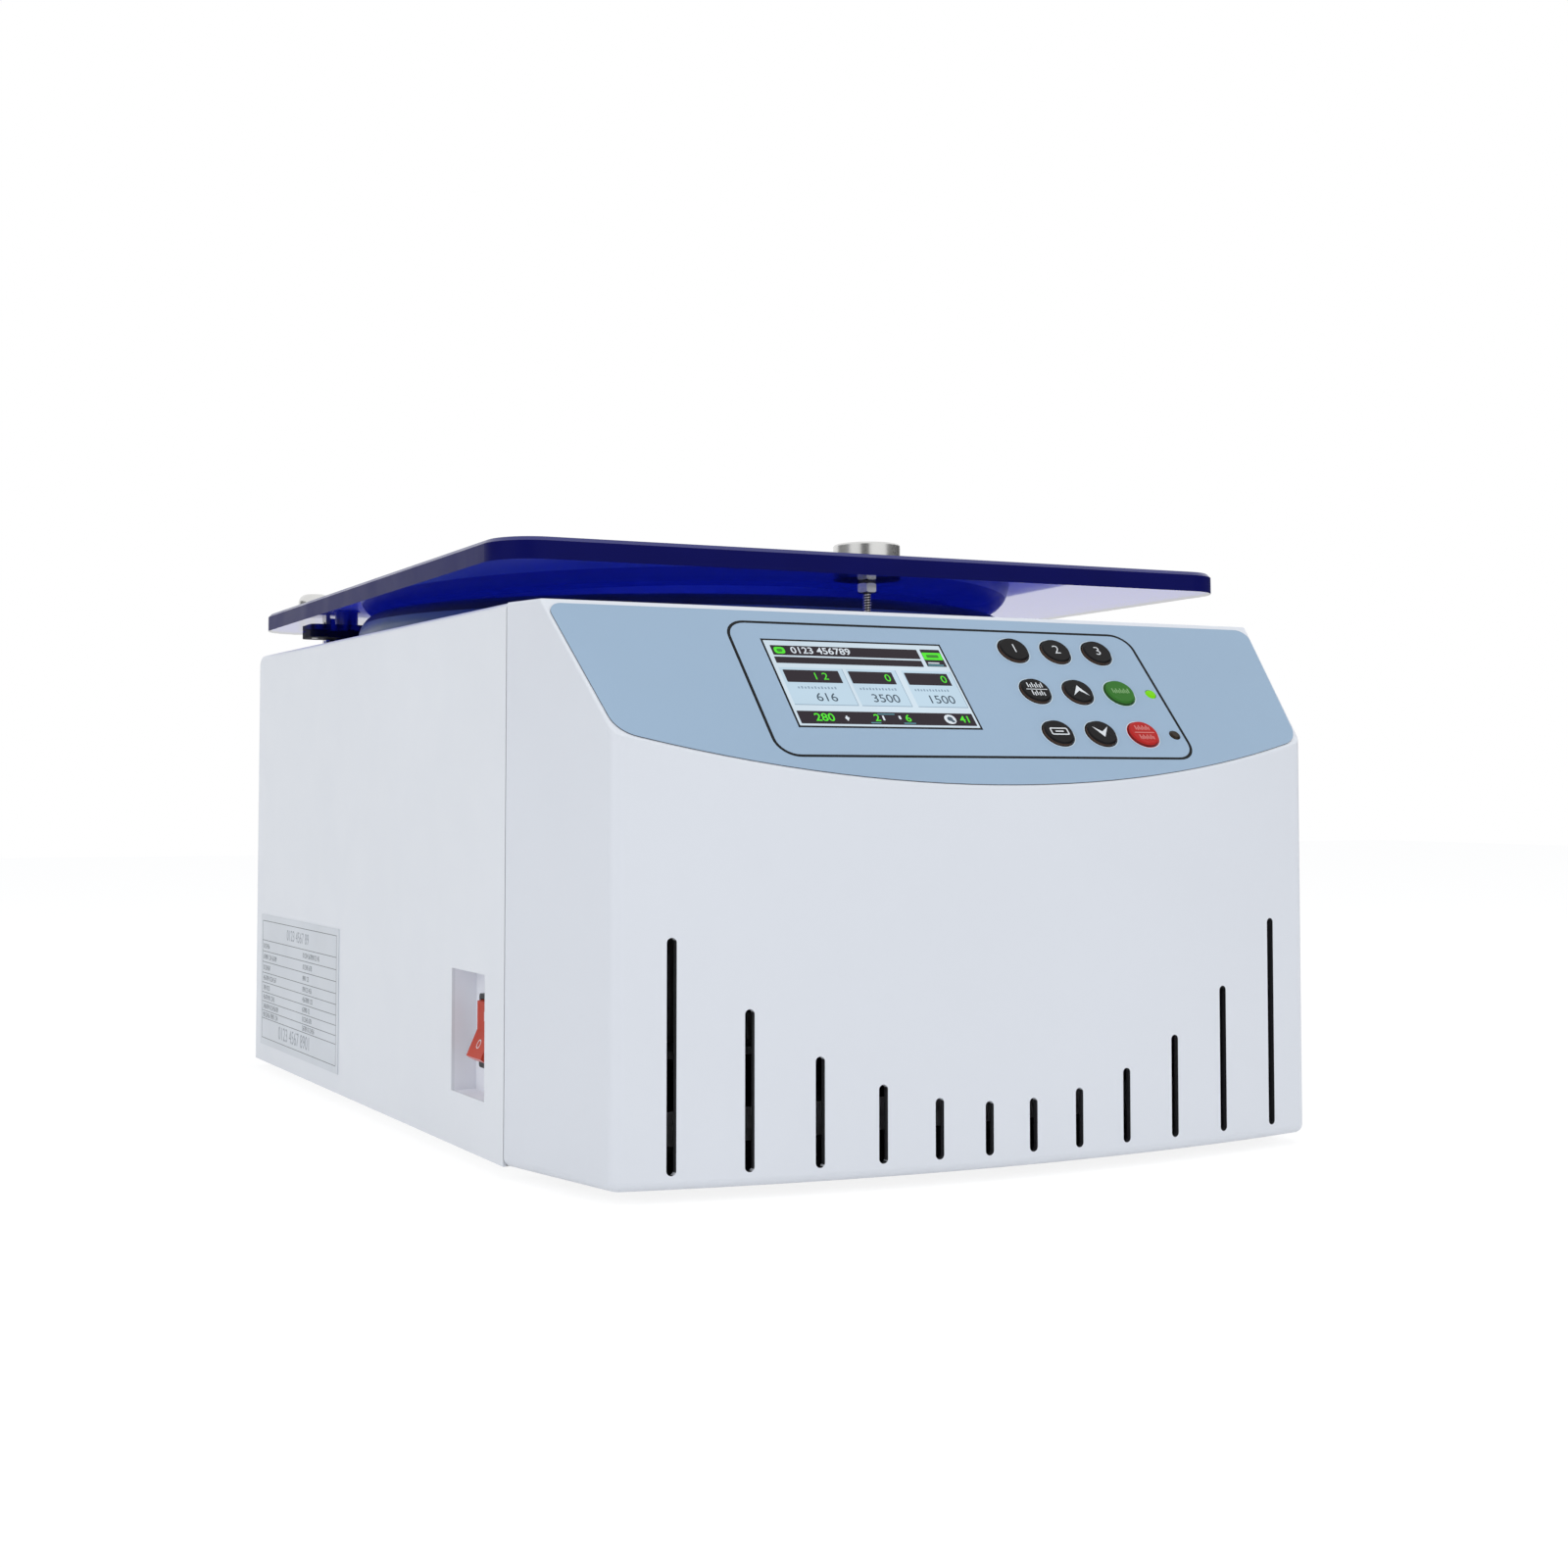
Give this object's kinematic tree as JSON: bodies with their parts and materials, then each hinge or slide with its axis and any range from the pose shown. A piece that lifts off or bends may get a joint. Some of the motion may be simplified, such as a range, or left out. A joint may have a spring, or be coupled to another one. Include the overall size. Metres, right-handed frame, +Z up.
{
  "type": "bench centrifuge",
  "caption": "Low bench centrifuge with a bowed front, sloped key panel and a flat blue acrylic lid over an angle rotor.",
  "frame": {"origin": "centre of the machine's outer box in plan, on the bench plane under the rubber feet", "axes": "+X to the right seen from the operator, +Y to the rear, +Z up"},
  "size_m": [0.3888, 0.537, 0.2818],
  "materials": {
    "white_paint": "fine smooth white paint",
    "white_plastic": "satin white moulding",
    "panel_film": "satin pale blue film",
    "display_glass": "clear window",
    "dark_plastic": "black moulding",
    "board": "green circuit board",
    "green_led": "clear green lamp",
    "black_key": "glossy dark key",
    "green_key": "glossy green key",
    "red_key": "glossy red key",
    "black_rubber": "black rubber",
    "stainless_steel": "turned and brushed",
    "steel": "bright zinc",
    "dark_steel": "black oxide",
    "galvanised_steel": "galvanised sheet",
    "laminated_steel": "stacked sheets",
    "aluminium": "satin machined",
    "blue_acrylic": "polished blue acrylic",
    "red_plastic": "glossy red rocker",
    "grey_plate": "bare pale grey film"
  },
  "bodies": {
    "housing": {"base_plate": "galvanised_steel", "rubber_feet": "black_rubber", "base_screws": "steel", "case_cover": "white_paint", "rear_panel": "white_paint", "rear_screws": "steel", "switch_recess": "white_plastic", "rating_plate": "grey_plate", "front_cover": "white_plastic", "control_overlay": "panel_film", "display_window": "display_glass", "display_module": "dark_plastic", "control_board": "board", "status_leds": "green_led", "chamber_collar": "dark_plastic", "chamber_gasket": "black_rubber", "chamber_bowl": "stainless_steel", "shaft_boot": "black_rubber", "motor_mount_plate": "galvanised_steel", "damper_mounts": "black_rubber", "motor_housing": "aluminium", "motor_stator": "laminated_steel", "motor_bearings": "steel", "lock_bush": "white_plastic", "lock_housing": "dark_plastic", "hinge_brackets": "stainless_steel", "hinge_pins": "steel", "lid_buffers": "black_rubber", "switch_body": "dark_plastic", "power_inlet": "dark_plastic", "fuse_holder": "dark_plastic", "fan_frame": "dark_plastic", "fan_guard": "steel", "drive_board": "board", "drive_heatsink": "aluminium"},
    "rotor": {"drive_shaft": "steel", "motor_armature": "laminated_steel", "rotor_body": "aluminium", "rotor_nut": "aluminium", "tube_cushions": "black_rubber"},
    "lid": {"lid_plate": "blue_acrylic", "lid_knob": "stainless_steel", "latch_stud": "steel", "latch_nut": "steel", "latch_washer": "black_rubber", "hinge_leaves": "dark_steel", "hinge_caps": "stainless_steel"},
    "power_rocker": {"rocker": "red_plastic"},
    "lock_bolt": {"lock_bolt": "steel"},
    "fan_wheel": {"fan_blades": "dark_plastic"},
    "key_one": {"key_one": "black_key"},
    "key_two": {"key_two": "black_key"},
    "key_three": {"key_three": "black_key"},
    "key_mode": {"key_mode": "black_key"},
    "key_up": {"key_up": "black_key"},
    "key_start": {"key_start": "green_key"},
    "key_set": {"key_set": "black_key"},
    "key_down": {"key_down": "black_key"},
    "key_stop": {"key_stop": "red_key"}
  },
  "joints": [
    {"name": "lid_hinge", "type": "hinge", "parent": "housing", "child": "lid", "pos_m": [0, 0.24451, 0.252], "axis": [-1, 0, 0], "range_deg": [0, 75]},
    {"name": "rotor_spin", "type": "hinge", "parent": "housing", "child": "rotor", "pos_m": [0, 0.0655, 0.155], "axis": [0, 0, 1], "continuous": true},
    {"name": "fan_spin", "type": "hinge", "parent": "housing", "child": "fan_wheel", "pos_m": [-0.095, 0.2515, 0.087], "axis": [0, 1, 0], "continuous": true},
    {"name": "rocker_tilt", "type": "hinge", "parent": "housing", "child": "power_rocker", "pos_m": [-0.1793, -0.1217, 0.0566], "axis": [0, -1, 0], "range_deg": [0, 24]},
    {"name": "bolt_slide", "type": "slide", "parent": "housing", "child": "lock_bolt", "axis": [0, -1, 0], "range_m": [0, 0.008], "stiffness_N_per_m": 120},
    {"name": "key_one_press", "type": "slide", "parent": "housing", "child": "key_one", "axis": [0, 0.7302, -0.6833], "range_m": [0, 0.0008], "stiffness_N_per_m": 600},
    {"name": "key_two_press", "type": "slide", "parent": "housing", "child": "key_two", "axis": [0, 0.7302, -0.6833], "range_m": [0, 0.0008], "stiffness_N_per_m": 600},
    {"name": "key_three_press", "type": "slide", "parent": "housing", "child": "key_three", "axis": [0, 0.7302, -0.6833], "range_m": [0, 0.0008], "stiffness_N_per_m": 600},
    {"name": "key_mode_press", "type": "slide", "parent": "housing", "child": "key_mode", "axis": [0, 0.7302, -0.6833], "range_m": [0, 0.0008], "stiffness_N_per_m": 600},
    {"name": "key_up_press", "type": "slide", "parent": "housing", "child": "key_up", "axis": [0, 0.7302, -0.6833], "range_m": [0, 0.0008], "stiffness_N_per_m": 600},
    {"name": "key_start_press", "type": "slide", "parent": "housing", "child": "key_start", "axis": [0, 0.7302, -0.6833], "range_m": [0, 0.0008], "stiffness_N_per_m": 600},
    {"name": "key_set_press", "type": "slide", "parent": "housing", "child": "key_set", "axis": [0, 0.7302, -0.6833], "range_m": [0, 0.0008], "stiffness_N_per_m": 600},
    {"name": "key_down_press", "type": "slide", "parent": "housing", "child": "key_down", "axis": [0, 0.7302, -0.6833], "range_m": [0, 0.0008], "stiffness_N_per_m": 600},
    {"name": "key_stop_press", "type": "slide", "parent": "housing", "child": "key_stop", "axis": [0, 0.7302, -0.6833], "range_m": [0, 0.0008], "stiffness_N_per_m": 600}
  ]
}
